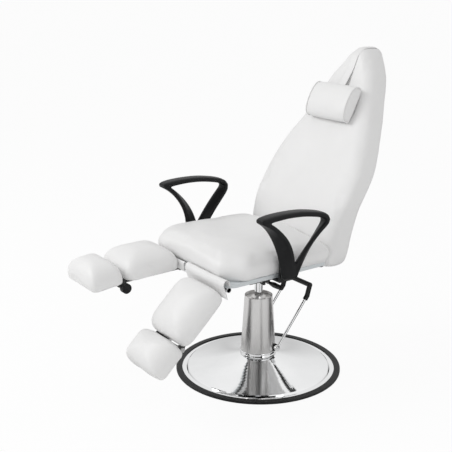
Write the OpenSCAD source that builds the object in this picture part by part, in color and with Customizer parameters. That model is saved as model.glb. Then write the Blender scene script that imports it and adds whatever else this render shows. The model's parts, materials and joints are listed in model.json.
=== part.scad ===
// Pedicure spa chair: hydraulic lift, reclining back, two independent leg rests.
// Millimetres, +Z up, the sitter faces -Y, origin at the centre of the base on the floor.

/* [Base] */
// Outer diameter of the rubber ring that the chair stands on
base_d = 600; // [540:10:700]
// Radial width of the rubber ring
ring_w = 36; // [30:1:44]
// Height of the rubber ring
ring_h = 9; // [8:0.5:12]
// Sheet thickness of the chrome dish
dish_t = 1.6; // [1.2:0.1:2.4]
// Height of the dish where it meets the column
dish_h = 57; // [45:1:80]
// Thickness of the steel base plate
plate_t = 6; // [5:1:10]

/* [Pump column] */
// Diameter of the steel shroud at its foot
shroud_foot_d = 127; // [122:1:140]
// Diameter of the steel shroud at its mouth
shroud_top_d = 101; // [94:1:112]
// Height of the shroud's mouth above the floor
shroud_top_z = 281; // [260:1:310]
// Sheet thickness of the shroud
shroud_t = 1.4; // [1.2:0.1:2]
// Outer diameter of the pump cylinder
cyl_d = 52; // [50:1:56]
// Diameter of the pump cylinder's bore
cyl_bore = 42; // [38:1:42]
// Diameter of the piston rod
rod_d = 30; // [24:1:32]
// Height of the rod's top end, inside the seat hub
rod_top_z = 392; // [385:1:400]

/* [Foot lever] */
// Distance between the two rods of the foot lever
lever_span = 138; // [134:2:156]
// Diameter of the lever's rods
lever_rod_d = 10; // [8:1:12]
// Outer diameter of the rubber grip
lever_grip_d = 18; // [14:1:20]

/* [Seat] */
// Overall width of the seat cushion
seat_w = 500; // [460:10:520]
// Height of the underside of the seat cushion
seat_z = 449; // [445:1:460]
// Thickness of the seat cushion at its sides
seat_side_h = 80; // [70:1:90]
// Height that the cushion's crown stands above its sides
seat_crown = 20; // [5:1:30]
// Distance from the column axis to the front end of the seat cushion
seat_front = 308; // [290:1:330]
// Distance from the column axis to the rear end of the seat cushion
seat_rear = 118; // [100:1:120]
// Thickness of the seat board
board_t = 13; // [9:1:14]
// Side of the square frame tubes
tube_s = 25; // [20:1:30]

/* [Back] */
// Thickness of the back cushion, measured level
back_t = 108; // [80:1:116]
// Radius of the back cushion's long edges
back_edge_r = 30; // [20:1:34]
// Width of the head pillow
pillow_w = 222; // [180:2:240]
// Height of the head pillow along the back
pillow_h = 134; // [110:1:150]
// Thickness of the head pillow
pillow_t = 50; // [40:1:60]
// Width of the strap that carries the head pillow
strap_w = 34; // [25:1:45]

/* [Arms] */
// Distance between the middles of the two armrests
arm_span = 576; // [574:2:620]
// Width of the armrest's pad
arm_w = 46; // [36:1:50]

/* [Leg rests] */
// Width of each leg cushion
leg_w = 204; // [180:2:208]
// Distance between the middles of the two leg rests
leg_span = 262; // [258:2:280]
// Length of the calf cushion
calf_l = 209; // [190:1:230]
// Length of the foot cushion
foot_l = 120; // [100:1:140]
// Thickness of the leg cushions, without their board
pad_t = 76; // [60:1:78]
// Angle of the lowered left leg rest below level
left_drop = 43; // [20:1:60]
// Angle of the raised right leg rest below level
right_drop = 1; // [0:1:20]
// Tilt of the left foot rest from the line of its calf rest, toe down
left_tilt = 0; // [0:1:20]
// Tilt of the right foot rest from the line of its calf rest, toe down
right_tilt = 5; // [0:1:20]
// Diameter of the clamp knobs
knob_d = 34; // [26:1:35]

/* [Hidden] */
$fn = 96;
HULL_FN = 32;
MIRROR = [1, 0, 0];

// Clearances shared by every fit
fit_run = 0.05;
gap_soft = 0.5;
gap_hole = 0.2;

// Base
base_r = base_d/2;
ring_in_r = base_r - ring_w;
lip_w = 20;
rim_r = base_r - lip_w;
rim_z = ring_h - 5;
flat_w = 24;
plate_r = ring_in_r - 14;
collar_h = 17;
shroud_foot_r = shroud_foot_d/2;
shroud_top_r = shroud_top_d/2;
collar_r = shroud_foot_r + 3;
shroud_foot_z = dish_h + 9;
flange_r = 92;
flange_t = 8;
flange_z = plate_t;
bolt_circle_r = 72;
bolt_r = 5;
cyl_z = flange_z + flange_t;
gland_z = shroud_top_z - 15;
gland_t = 8;
head_z = 60;
head_t = 28;

// Foot lever, pivoting on a shaft behind the cylinder
shaft_y = 33;
shaft_z = 87;
shaft_r = 6;
lever_x = lever_span/2;
lever_rod_r = lever_rod_d/2;
lever_grip_r = lever_grip_d/2;
ear_t = 8;
ear_x = collar_r - 7;
lever_heel = [lever_x, shaft_y, shaft_z];
grip_foot = [lever_x, 160, 247];
grip_top = [lever_x, 182, 299];
grip_lap = 14;
lever_way = (grip_foot - lever_heel)/norm(grip_foot - lever_heel);

// Seat mechanism
hub_r = 26;
mount_z = 354;
mount_t = 8;
mount_x = 62;
mount_y = 87;
riser_w = 30;
riser_y = 60;
frame_top = seat_z - board_t - gap_soft;
frame_z = frame_top - tube_s;
rail_x = 150;
hinge_y = -(seat_front - 31);
hinge_z = seat_z - 29;
rail_front = hinge_y + 15;
rail_rear = seat_rear - 2;
cross_y = 62;
board_w = seat_w - 36;
board_front = -(seat_front - 12);
hinge_r = 10;
hinge_half = 202;
collar_t = 3;
flap_t = 1.3;
nose_r = seat_side_h/2;

// Release lever
pin_r = 3;
rel_y = -28;
rel_x = 73;
rel_z = 360;
rel_way = [0.985, -0.146, 0.09];
rel_rod_r = 3.5;
rel_l = 116;
rel_grip_s = 34;

// Back
back_pivot = [0, 176, 404];
PROFILE = [[421, 212, 124], [470, 225, 127], [540, 232, 136], [610, 237, 156], [670, 238, 190],
    [730, 232, 227], [800, 210, 266], [870, 177, 311], [950, 141, 354], [1030, 107, 392],
    [1085, 66, 416], [1130, 30, 434]];
back_low = PROFILE[0][0];
back_high = PROFILE[len(PROFILE) - 1][0];
lean = 27;
upright_x = 105;
upright_w = 30;
upright_t = 6;
pillow_z = 880;
strap_t = 2;

// Armrests
arm_x = arm_span/2;
arm_in = arm_x - arm_w/2;
foot_y0 = -126;
foot_y1 = -62;
foot_z0 = 441;
ARM_FRONT = [[-224, 658], [-196, 634], [-160, 598], [-134, 550], [-124, 500], [-124, 465]];
ARM_REAR = [[-68, 462], [-50, 495], [-10, 550], [32, 594], [58, 620], [60, 634]];
ARM_TOP = [[44, 648], [-10, 662], [-75, 671], [-140, 674], [-215, 669]];
LOOP_FRONT = [[-176, 642], [-134, 605], [-106, 558], [-90, 515], [-82, 498]];
LOOP_REAR = [[-70, 498], [-30, 552], [14, 596], [40, 626]];
LOOP_TOP = [[0, 643], [-75, 656], [-140, 658]];

// Leg rests, in a frame with its origin on the hinge and -Y along the leg
leg_x = leg_span/2;
pad_s = 27;
calf_end = pad_s + calf_l;
leg_board_t = 10;
pad_z = 17;
leg_board_z = pad_z - leg_board_t - gap_soft;
rail_r = 8;
rail_gap = 84;
leg_rail_z = leg_board_z - rail_r - 1;
leg_rail_s = 8;
lug_w = 14;

// Foot rests, in a frame with its origin on the tilt hinge
tilt_s = calf_end + 3;
tilt_z = leg_board_z - 18;
tilt_r = 5;
foot_s = 3;
foot_ear_t = 6;
foot_ear_x = rail_gap/2 - lug_w/2 - foot_ear_t - 0.3;
knob_x = leg_w/2 - 24;

// ---- helpers ----

// A point on the smooth curve through four neighbouring points
function through(a, b, c, d, t) =
    (2*b + (c - a)*t + (2*a - 5*b + 4*c - d)*t*t + (3*b - a - 3*c + d)*t*t*t)/2;

// A smooth open curve through the points of a list, with n steps between neighbours
function smooth(p, n) = concat([for (i = [0:len(p) - 2]) for (k = [0:n - 1])
    through(p[max(i - 1, 0)], p[i], p[i + 1], p[min(i + 2, len(p) - 1)], k/n)], [p[len(p) - 1]]);

// Half-width and front of the back cushion at height z
function back_row(z, i = 0) = i >= len(PROFILE) - 2 || z <= PROFILE[i + 1][0]
    ? through(PROFILE[max(i - 1, 0)], PROFILE[i], PROFILE[i + 1], PROFILE[min(i + 2, len(PROFILE) - 1)],
        (z - PROFILE[i][0])/(PROFILE[i + 1][0] - PROFILE[i][0]))
    : back_row(z, i + 1);
function back_front(z) = back_row(z)[2];

module cyl_x(r, x0, x1) translate([x0, 0, 0]) rotate([0, 90, 0]) cylinder(r = r, h = x1 - x0);
module cyl_y(r, y0, y1) translate([0, y1, 0]) rotate([90, 0, 0]) cylinder(r = r, h = y1 - y0);
module box(x0, x1, y0, y1, z0, z1) translate([x0, y0, z0]) cube([x1 - x0, y1 - y0, z1 - z0]);
module both() { children(); mirror(MIRROR) children(); }
module on_side(side) { if (side > 0) children(); else mirror(MIRROR) children(); }

// Turns +Z to point along the vector d
module along(d) rotate([0, acos(d[2]/norm(d)), atan2(d[1], d[0])]) children();

// A round bar between two points
module bar(a, b, r) translate(a) along(b - a) cylinder(r = r, h = norm(b - a));

// A hexagon bolt head standing on z = 0, with its shank below
module bolt(r, head_h, shank) {
    cylinder(r = r*1.85, h = head_h, $fn = 6);
    translate([0, 0, -shank]) cylinder(r = r, h = shank + head_h/2);
}

// ---- base ----

module base_plate() {
    color("dimgray") difference() {
        union() {
            cylinder(r = plate_r, h = plate_t);
            cylinder(r = ring_in_r - gap_soft, h = rim_z - gap_soft);
        }
        for (a = [45:90:315]) rotate(a) translate([bolt_circle_r, 0, plate_t/2])
            cylinder(r = bolt_r + gap_hole, h = plate_t);
    }
}

// Height of the dish's outer face at radius r: a low cone that flares up to the column
function dish_z(r) = let (u = (rim_r - flat_w - r)/(rim_r - flat_w - shroud_foot_r))
    rim_z + dish_t + 6 + (dish_h - rim_z - dish_t - 6)*(0.72*u + 0.28*u*u*u);

module base_dish() {
    inner = shroud_foot_r;
    slope = [for (i = [0:12]) let (r = rim_r - flat_w - (rim_r - flat_w - inner)*i/12) [r, dish_z(r)]];
    rim = [[rim_r, rim_z + dish_t], [rim_r - flat_w + 6, rim_z + dish_t], [rim_r - flat_w + 3, rim_z + dish_t + 4]];
    top = concat(rim, slope);
    low = [for (p = top) [max(p[0], inner), p[1] - dish_t]];
    color("gainsboro") rotate_extrude() polygon(concat(top, [for (i = [len(low) - 1:-1:0]) low[i]]));
}

module rubber_ring() {
    color([0.2, 0.21, 0.22]) rotate_extrude() polygon([[ring_in_r, 0], [base_r - 1, 0], [base_r, 1],
        [base_r, ring_h - 3], [base_r - 3, ring_h - 1], [rim_r + 3, ring_h], [rim_r - 2, ring_h],
        [rim_r - 2, rim_z + dish_t + gap_hole], [rim_r + gap_hole, rim_z + dish_t + gap_hole],
        [rim_r + gap_hole, rim_z], [ring_in_r, rim_z]]);
}

module pump_flange() {
    color("dimgray") difference() {
        translate([0, 0, flange_z]) cylinder(r = flange_r, h = flange_t);
        for (a = [45:90:315]) rotate(a) translate([bolt_circle_r, 0, 0])
            cylinder(r = bolt_r + gap_hole, h = cyl_z + 1);
    }
}

module flange_bolts() {
    color("silver") for (a = [45:90:315]) rotate(a) translate([bolt_circle_r, 0, cyl_z])
        bolt(bolt_r, 6, flange_t + plate_t/2 - 0.5);
}

module pump_cylinder() {
    color("slategray") difference() {
        translate([0, 0, cyl_z]) cylinder(r = cyl_d/2, h = gland_z - cyl_z);
        translate([0, 0, cyl_z + 12]) cylinder(r = cyl_bore/2, h = gland_z);
    }
}

module pump_gland() {
    color("silver") translate([0, 0, gland_z]) difference() {
        union() {
            cylinder(r = cyl_d/2, h = gland_t);
            // Spokeless flange that centres the shroud
            cylinder(r = shroud_top_r - shroud_t - 0.9, h = 3);
        }
        translate([0, 0, -1]) cylinder(r = rod_d/2 + fit_run, h = gland_t + 2);
    }
}

module pump_shroud() {
    mouth_lip = 2;
    color([0.75, 0.75, 0.74]) difference() {
        rotate_extrude() polygon([[shroud_foot_r - shroud_t, shroud_foot_z], [shroud_foot_r, shroud_foot_z],
            [shroud_top_r, shroud_top_z - mouth_lip], [shroud_top_r, shroud_top_z],
            [shroud_top_r - shroud_t, shroud_top_z], [shroud_top_r - shroud_t, shroud_top_z - mouth_lip]]);
        // Holes that the lever's shaft passes through
        translate([0, shaft_y, shaft_z]) cyl_x(shaft_r + 2, -base_r, base_r);
    }
}

module shroud_collar() {
    bead = 2;
    color("gainsboro") rotate_extrude() polygon([[shroud_foot_r - 6, dish_h], [collar_r - bead, dish_h],
        [collar_r, dish_h + bead], [collar_r, dish_h + 6], [collar_r - bead, dish_h + 9],
        [collar_r - bead, dish_h + collar_h - 1], [collar_r - bead - 0.6, dish_h + collar_h],
        [shroud_foot_r + gap_hole, dish_h + collar_h], [shroud_foot_r + gap_hole, shroud_foot_z],
        [shroud_foot_r - 6, shroud_foot_z]]);
}

module lever_brackets() {
    z0 = dish_h + collar_h;
    grown = 0.4;
    color([0.1, 0.1, 0.1]) both() difference() {
        union() {
            translate([0, shaft_y, shaft_z]) cyl_x(13, ear_x - ear_t, ear_x);
            box(ear_x - ear_t, ear_x, shaft_y - 26, shaft_y + 13, z0, shaft_z);
        }
        translate([0, 0, shroud_foot_z]) cylinder(r1 = shroud_foot_r + grown, r2 = shroud_top_r + grown,
            h = shroud_top_z - shroud_foot_z);
        translate([0, shaft_y, shaft_z]) cyl_x(shaft_r + fit_run, 0, base_r);
    }
}

// ---- foot lever ----

module foot_lever() {
    eye_r = 10;
    color("gainsboro") {
        both() {
            translate([0, shaft_y, shaft_z]) cyl_x(eye_r, lever_x - 5.5, lever_x + 5.5);
            bar(lever_heel, grip_foot + lever_way*(grip_lap - 1), lever_rod_r);
        }
        translate([0, shaft_y, shaft_z]) cyl_x(shaft_r, -lever_x - 9, lever_x + 9);
    }
}

// The grip is a sleeve over the rods' ends and solid rubber over the cross bar's core
module foot_lever_grip() {
    elbow = grip_foot + lever_way*(grip_lap + 2);
    knuckle_r = lever_grip_r + 0.3;
    color([0.08, 0.08, 0.08]) difference() {
        union() {
            both() {
                bar(grip_foot, elbow, lever_grip_r);
                translate(elbow) sphere(r = knuckle_r);
                bar(elbow, grip_top, lever_grip_r);
                translate(grip_top) sphere(r = knuckle_r);
            }
            translate([0, grip_top[1], grip_top[2]]) cyl_x(lever_grip_r, -lever_x, lever_x);
        }
        both() bar(grip_foot - lever_way*5, grip_foot + lever_way*(grip_lap - 0.9), lever_rod_r + fit_run);
    }
}

// ---- lift ----

module piston_rod() {
    color("gainsboro") {
        translate([0, 0, head_z]) cylinder(r = rod_d/2, h = rod_top_z - head_z);
        translate([0, 0, head_z]) cylinder(r = cyl_bore/2 - fit_run, h = head_t);
    }
}

// ---- seat mechanism ----

module seat_hub() {
    wall_top = 8;
    color("dimgray") difference() {
        translate([0, 0, mount_z + mount_t]) cylinder(r = hub_r, h = rod_top_z - mount_z - mount_t + wall_top);
        translate([0, 0, mount_z]) cylinder(r = rod_d/2 + fit_run, h = rod_top_z - mount_z);
    }
}

module mounting_plate() {
    color([0.35, 0.33, 0.32]) difference() {
        box(-mount_x, mount_x, -mount_y, mount_y, mount_z, mount_z + mount_t);
        translate([0, 0, mount_z - 1]) cylinder(r = rod_d/2 + fit_run, h = mount_t + 2);
        for (x = [-40, 40]) for (y = [-riser_y, riser_y]) translate([x, y, mount_z - 1])
            cylinder(r = 4 + gap_hole, h = mount_t + 2);
    }
}

module mounting_bolts() {
    color("silver") for (x = [-40, 40]) for (y = [-riser_y, riser_y])
        translate([x, y, mount_z]) rotate([180, 0, 0]) bolt(4, 5, mount_t + 12);
}

module seat_frame() {
    color("silver") difference() {
        union() {
            both() box(rail_x - tube_s/2, rail_x + tube_s/2, rail_front, rail_rear, frame_z, frame_top);
            for (s = [-1, 1]) {
                box(-rail_x, rail_x, s*riser_y - riser_w/2, s*riser_y + riser_w/2, frame_z, frame_top);
                box(-mount_x, mount_x, s*riser_y - riser_w/2, s*riser_y + riser_w/2, mount_z + mount_t, frame_z);
            }
            both() hinge_cheek();
        }
        for (x = [-40, 40]) for (y = [-riser_y, riser_y]) translate([x, y, mount_z])
            cylinder(r = 4 + gap_hole, h = mount_t + 13);
        translate([0, hinge_y, hinge_z]) cyl_x(hinge_r + gap_hole, -seat_w, seat_w);
    }
}

// The plate on the front end of a side rail that holds the leg hinge tube
module hinge_cheek() {
    cheek_t = 6;
    x0 = rail_x - cheek_t/2;
    translate([0, hinge_y, hinge_z]) cyl_x(13, x0, x0 + cheek_t);
    translate([x0, 0, 0]) rotate([90, 0, 90]) linear_extrude(cheek_t) polygon([[hinge_y, hinge_z - 13],
        [rail_front + 2, frame_z], [rail_front + 2, frame_top - 1], [hinge_y, hinge_z + 13]]);
}

module seat_board() {
    r = 30;
    color([0.82, 0.85, 0.86]) translate([0, 0, frame_top]) linear_extrude(board_t) union() {
        translate([-board_w/2, board_front + r]) square([board_w, seat_rear - 16 - board_front - r]);
        translate([-board_w/2 + r, board_front]) square([board_w - 2*r, r + 1]);
        for (x = [-1, 1]) translate([x*(board_w/2 - r), board_front + r]) circle(r = r);
    }
}

module seat_cushion() {
    rear_r = 34;
    cut = 42;
    top = seat_z + seat_side_h;
    color("white") hull() {
        for (x = [-1, 1]) {
            translate([x*(seat_w/2 - nose_r), -seat_front + nose_r + cut, seat_z + nose_r]) sphere(r = nose_r, $fn = HULL_FN);
            translate([x*(seat_w/2 - nose_r - cut), -seat_front + nose_r, seat_z + nose_r]) sphere(r = nose_r, $fn = HULL_FN);
            translate([x*(seat_w/2 - rear_r), seat_rear - rear_r, seat_z + rear_r]) sphere(r = rear_r, $fn = HULL_FN);
        }
        translate([0, -90, top]) scale([1, 1.2, 1]) cylinder(r1 = 180, r2 = 110, h = seat_crown, $fn = HULL_FN);
    }
}

// ---- armrests ----

module arm_bracket(side) {
    t = 6;
    x1 = arm_in - 1;
    color([0.08, 0.08, 0.08]) on_side(side) difference() {
        union() {
            box(rail_x + tube_s/2, x1, foot_y0 + 6, foot_y1 - 6, frame_top - t, frame_top);
            box(x1 - t, x1, foot_y0 + 6, foot_y1 - 6, frame_top - t, frame_top + 70);
        }
        for (z = [24, 52]) translate([0, (foot_y0 + foot_y1)/2, frame_top + z]) cyl_x(3 + gap_hole, 0, base_r);
    }
}
module left_arm_bracket() arm_bracket(1);
module right_arm_bracket() arm_bracket(-1);

module arm_bolts() {
    x1 = arm_in - 1;
    color("silver") both() for (z = [24, 52]) translate([x1 - 6, (foot_y0 + foot_y1)/2, frame_top + z])
        rotate([0, -90, 0]) bolt(3, 3, 24);
}

module arm_outline() {
    polygon(concat(smooth(ARM_FRONT, 5), [[foot_y0 + 6, foot_z0 + 4], [foot_y0 + 14, foot_z0],
        [foot_y1 - 14, foot_z0], [foot_y1 - 5, foot_z0 + 5]], smooth(ARM_REAR, 5), smooth(ARM_TOP, 4)));
}

module arm_loop() {
    polygon(concat(smooth(LOOP_FRONT, 5), smooth(LOOP_REAR, 5), smooth(LOOP_TOP, 4)));
}

module armrest(side) {
    foot_w = arm_w - 10;
    rear_leg_w = 26;
    waist_z = 612;
    color([0.09, 0.09, 0.1]) on_side(side) difference() {
        translate([arm_in, 0, 0]) rotate([90, 0, 90]) linear_extrude(arm_w) difference() {
            arm_outline();
            arm_loop();
        }
        // The legs are narrower below the pad, on the outside
        box(arm_in + foot_w, base_d, -base_r, base_r, 0, waist_z);
        box(arm_in + rear_leg_w, base_d, -64, base_r, 500, waist_z);
        for (z = [24, 52]) translate([0, (foot_y0 + foot_y1)/2, frame_top + z])
            cyl_x(3 + gap_hole, arm_in - 5, arm_in + 22);
    }
}
module left_armrest() armrest(1);
module right_armrest() armrest(-1);

// ---- leg hinge ----

module leg_hinge_tube() {
    color("gainsboro") translate([0, hinge_y, hinge_z]) difference() {
        cyl_x(hinge_r, -hinge_half, hinge_half);
        cyl_x(hinge_r - 2, -seat_w, seat_w);
    }
}

// The vinyl flap that covers the hinge, as the strip of it that hangs on the board's front edge
module hinge_flap(side) {
    color("white") on_side(side) translate([6, board_front - gap_soft - flap_t, frame_top + 1])
        cube([seat_w/2 - 54, flap_t, board_t + 3]);
}
module left_hinge_flap() hinge_flap(1);
module right_hinge_flap() hinge_flap(-1);

// ---- release lever ----

module release_bracket() {
    cheek = 8;
    slot = 12;
    color([0.1, 0.1, 0.1]) difference() {
        box(mount_x, rel_x + 9, rel_y - slot/2 - cheek, rel_y + slot/2 + cheek, mount_z - 4, mount_z + 16);
        box(mount_x + 3, rel_x + 20, rel_y - slot/2, rel_y + slot/2, 0, seat_z);
        translate([rel_x, 0, rel_z]) cyl_y(pin_r + fit_run, -base_r, base_r);
    }
}

module release_lever() {
    eye_w = 11;
    color([0.55, 0.53, 0.5]) translate([rel_x, rel_y, rel_z]) {
        cyl_y(7, -eye_w/2, eye_w/2);
        cyl_y(pin_r, -16, 16);
        along(rel_way) cylinder(r = rel_rod_r, h = rel_l - 5);
    }
}

module release_grip() {
    l = rel_l - rel_grip_s;
    bore_r = rel_rod_r + gap_hole;
    color([0.06, 0.06, 0.06]) translate([rel_x, rel_y, rel_z]) along(rel_way) translate([0, 0, rel_grip_s])
        rotate_extrude() polygon([[bore_r, 0], [6, 0], [9.5, l/3], [8.6, l*0.7], [7, l - 3], [5, l], [0, l],
            [0, l - 4], [bore_r, l - 4]]);
}

// ---- back ----

module back_hinge_ears() {
    ear = 6;
    ear_r = 16;
    x0 = rail_x - tube_s/2 - ear;
    color("dimgray") both() difference() {
        union() {
            translate([x0, 0, 0]) rotate([90, 0, 90]) linear_extrude(ear) polygon([[rail_rear - 38, frame_z],
                [rail_rear - 38, frame_top], [rail_rear - 4, frame_top], [rail_rear, back_pivot[2] + ear_r],
                [back_pivot[1], back_pivot[2] + ear_r], [back_pivot[1], back_pivot[2] - ear_r]]);
            translate([0, back_pivot[1], back_pivot[2]]) cyl_x(ear_r, x0, x0 + ear);
        }
        translate([0, back_pivot[1], back_pivot[2]]) cyl_x(pin_r + 2 + fit_run, 0, seat_w);
    }
}

module back_hinge_pins() {
    color("silver") both() translate([0, back_pivot[1], back_pivot[2]]) {
        cyl_x(pin_r + 2, upright_x + upright_w/2 - 8, rail_x - tube_s/2 + 3);
        cyl_x(9, rail_x - tube_s/2 + 0.3, rail_x - tube_s/2 + 4);
    }
}

module back_frame() {
    rear = back_front(470) + back_t + 2;
    hi = 760;
    x0 = upright_x - upright_w/2;
    x1 = upright_x + upright_w/2;
    color("dimgray") {
        both() {
            difference() {
                union() {
                    translate([0, back_pivot[1], back_pivot[2]]) cyl_x(15, x1 - 7, x1);
                    translate([x1 - 7, 0, 0]) rotate([90, 0, 90]) linear_extrude(7) polygon([
                        [back_pivot[1], back_pivot[2] - 15], [rear + 4, back_pivot[2] - 10],
                        [rear + upright_t, back_low], [rear + upright_t, 480], [rear, 480],
                        [rear, back_low - 3], [back_pivot[1], back_pivot[2] + 14]]);
                }
                translate([0, back_pivot[1], back_pivot[2]]) cyl_x(pin_r + 2 + gap_hole, 0, seat_w);
            }
            translate([x0, 0, 0]) rotate([90, 0, 90]) linear_extrude(upright_w)
                polygon(concat([for (z = [430:30:hi]) [back_front(z) + back_t + 0.5, z]],
                    [for (z = [hi:-30:430]) [back_front(z) + back_t + 0.5 + upright_t, z]]));
        }
        for (z = [450, 730]) translate([-x0 - 1, back_front(z + 12) + back_t + 0.8, z - 12])
            cube([2*x0 + 2, 4, 24]);
    }
}

// Outline of the back cushion's level section: a rounded rectangle
function back_ring(z, inset) = let (row = back_row(z), w = row[1] - inset, y0 = row[2] + inset,
    y1 = row[2] + back_t - inset, r = max(min(back_edge_r, w - 1, (y1 - y0)/2 - 1), 2))
    [for (c = [[1, 0, -90], [1, 1, 0], [-1, 1, 90], [-1, 0, 180]]) for (k = [0:5])
        [c[0]*(w - r) + r*cos(c[2] + k*18), (c[1] > 0 ? y1 - r : y0 + r) + r*sin(c[2] + k*18), z]];

// How far the section draws in near the top and bottom ends
function end_inset(z) = let (r = 26, d = min(z - back_low, back_high - z))
    d < r ? r - sqrt(r*r - (r - d)*(r - d)) : 0;

module back_cushion() {
    ends = [0, 3, 8, 16, 26];
    heights = concat([for (e = ends) back_low + e], [for (k = [1:27]) back_low + 26 + (back_high - back_low - 52)*k/28],
        [for (i = [4:-1:0]) back_high - ends[i]]);
    rings = [for (z = heights) back_ring(z, end_inset(z))];
    n = len(rings[0]);
    m = len(rings);
    color("white") polyhedron([for (ring = rings) for (p = ring) p], concat(
        [[for (k = [0:n - 1]) k]],
        [for (i = [0:m - 2]) for (k = [0:n - 1]) [i*n + k, (i + 1)*n + k, (i + 1)*n + (k + 1)%n, i*n + (k + 1)%n]],
        [[for (k = [n - 1:-1:0]) (m - 1)*n + k]]));
}

module back_board() {
    t = 0.4;
    color([0.8, 0.8, 0.8]) rotate([90, 0, 90]) translate([0, 0, -60]) linear_extrude(120)
        polygon(concat([for (z = [500:40:700]) [back_front(z) + back_t + 0.5, z]],
            [for (z = [700:-40:500]) [back_front(z) + back_t + 0.5 + upright_t - t, z]]));
}

module pillow_strap() {
    stand = 1.5;
    round_end = [16, 8, 3, 0];
    zs = [for (z = [pillow_z + 30:20:back_high - 26]) z];
    front = concat([for (z = zs) [back_front(z) - stand, z]],
        [for (e = round_end) let (z = back_high - e) [back_front(z) + end_inset(z) - stand, z + stand]]);
    rear = concat([for (i = [len(round_end) - 1:-1:0]) let (z = back_high - round_end[i])
        [back_front(z) + back_t - end_inset(z) + stand, z + stand]],
        [for (z = [back_high - 30:-20:back_high - 140]) [back_front(z) + back_t + stand, z]]);
    path = concat(front, rear);
    function side_of(i) = let (a = path[max(i - 1, 0)], b = path[min(i + 1, len(path) - 1)], d = b - a)
        [-d[1], d[0]]*strap_t/norm(d);
    outer = [for (i = [0:len(path) - 1]) path[i] + side_of(i)];
    color("white") translate([-strap_w/2, 0, 0]) rotate([90, 0, 90]) linear_extrude(strap_w)
        polygon(concat(path, [for (i = [len(path) - 1:-1:0]) outer[i]]));
}

module head_pillow() {
    y0 = back_front(pillow_z) - strap_t - 1.5;
    color("white") translate([-pillow_w/2, y0, pillow_z]) rotate([-lean, 0, 0]) rotate([90, 0, 90])
        linear_extrude(pillow_w) polygon([for (k = [0:16]) let (a = 180*k/16)
            [-pillow_t*pow(sin(a), 0.7), pillow_h/2 - pillow_h/2*cos(a)]]);
}

// ---- leg rests ----

module leg_place(side, drop) {
    translate([side*leg_x, hinge_y, hinge_z]) rotate([drop, 0, 0]) children();
}

// A crowned cushion along -Y from s0 to s1
module leg_pad(s0, s1) {
    r = 24;
    w = leg_w/2;
    side_z = pad_z + pad_t - 26;
    hull() {
        for (x = [-1, 1]) for (s = [s0 + r, s1 - r]) {
            translate([x*(w - r), -s, side_z - r]) sphere(r = r, $fn = 24);
            translate([x*(w - r), -s, pad_z]) cylinder(r = r - 3, h = 2, $fn = 24);
        }
        translate([0, -(s0 + s1)/2, side_z]) cylinder(r1 = 70*(s1 - s0)/200, r2 = 30*(s1 - s0)/200, h = 26, $fn = HULL_FN);
    }
}

module leg_plate(s0, s1) {
    inset = 8;
    box(-leg_w/2 + inset, leg_w/2 - inset, -s1 + inset, -s0 - inset, leg_board_z, leg_board_z + leg_board_t);
}

module leg_frame(side, drop) {
    color("dimgray") leg_place(side, drop) difference() {
        union() {
            for (x = [-rail_gap/2, rail_gap/2]) {
                translate([x, 0, leg_rail_z]) cyl_y(rail_r, -calf_end + 16, -leg_rail_s);
                cyl_x(hinge_r + collar_t, x - lug_w/2, x + lug_w/2);
                translate([x - lug_w/2, 0, 0]) rotate([90, 0, 90]) linear_extrude(lug_w)
                    polygon([[-calf_end + 26, leg_rail_z + 6], [-calf_end + 20, leg_rail_z - 7],
                        [-tilt_s + 4, tilt_z - 8], [-tilt_s - 4, tilt_z + 8]]);
                translate([0, -tilt_s, tilt_z]) cyl_x(tilt_r + 5, x - lug_w/2, x + lug_w/2);
            }
            for (s = [0.45, 0.85]) translate([0, -calf_end*s, leg_rail_z])
                box(-rail_gap/2, rail_gap/2, -9, 9, -4, rail_r + gap_soft);
        }
        cyl_x(hinge_r + fit_run, -leg_w, leg_w);
        translate([0, -tilt_s, tilt_z]) cyl_x(tilt_r + fit_run, -leg_w, leg_w);
    }
}

module calf_board(side, drop) {
    color([0.8, 0.8, 0.8]) leg_place(side, drop) leg_plate(pad_s + 8, calf_end);
}

module calf_cushion(side, drop) {
    color("white") leg_place(side, drop) leg_pad(pad_s, calf_end);
}

module foot_place(side, drop, tilt) {
    leg_place(side, drop) translate([0, -tilt_s, tilt_z]) rotate([tilt, 0, 0]) children();
}

module tilt_pin(side, drop) {
    color("silver") leg_place(side, drop) translate([0, -tilt_s, tilt_z]) mirror([max(side, 0), 0, 0]) {
        cyl_x(tilt_r, -rail_gap/2 - lug_w/2 - 1, knob_x + 10);
        cyl_x(tilt_r + 3, -rail_gap/2 - lug_w/2 - 5, -rail_gap/2 - lug_w/2);
    }
}

module foot_bracket(side, drop, tilt) {
    top = leg_board_z - tilt_z;
    end = foot_s + foot_l - 22;
    color("silver") foot_place(side, drop, tilt) difference() {
        union() {
            for (m = [0, 1]) mirror([m, 0, 0]) {
                cyl_x(tilt_r + 5, foot_ear_x, foot_ear_x + foot_ear_t);
                translate([foot_ear_x, 0, 0]) rotate([90, 0, 90]) linear_extrude(foot_ear_t)
                    polygon([[6, 4], [6 - foot_s - 10, top], [-end, top], [-end, top - 10], [-20, top - 14], [-4, -8]]);
            }
            for (s = [foot_s + 24, end - 20]) box(-foot_ear_x, foot_ear_x, -s - 16, -s, top - 5, top);
        }
        cyl_x(tilt_r + fit_run, -leg_w, leg_w);
    }
}

module foot_board(side, drop, tilt) {
    color([0.8, 0.8, 0.8]) foot_place(side, drop, tilt) translate([0, 0, -tilt_z]) leg_plate(foot_s, foot_s + foot_l);
}

module foot_cushion(side, drop, tilt) {
    color("white") foot_place(side, drop, tilt) translate([0, 0, -tilt_z]) leg_pad(foot_s, foot_s + foot_l);
}

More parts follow.
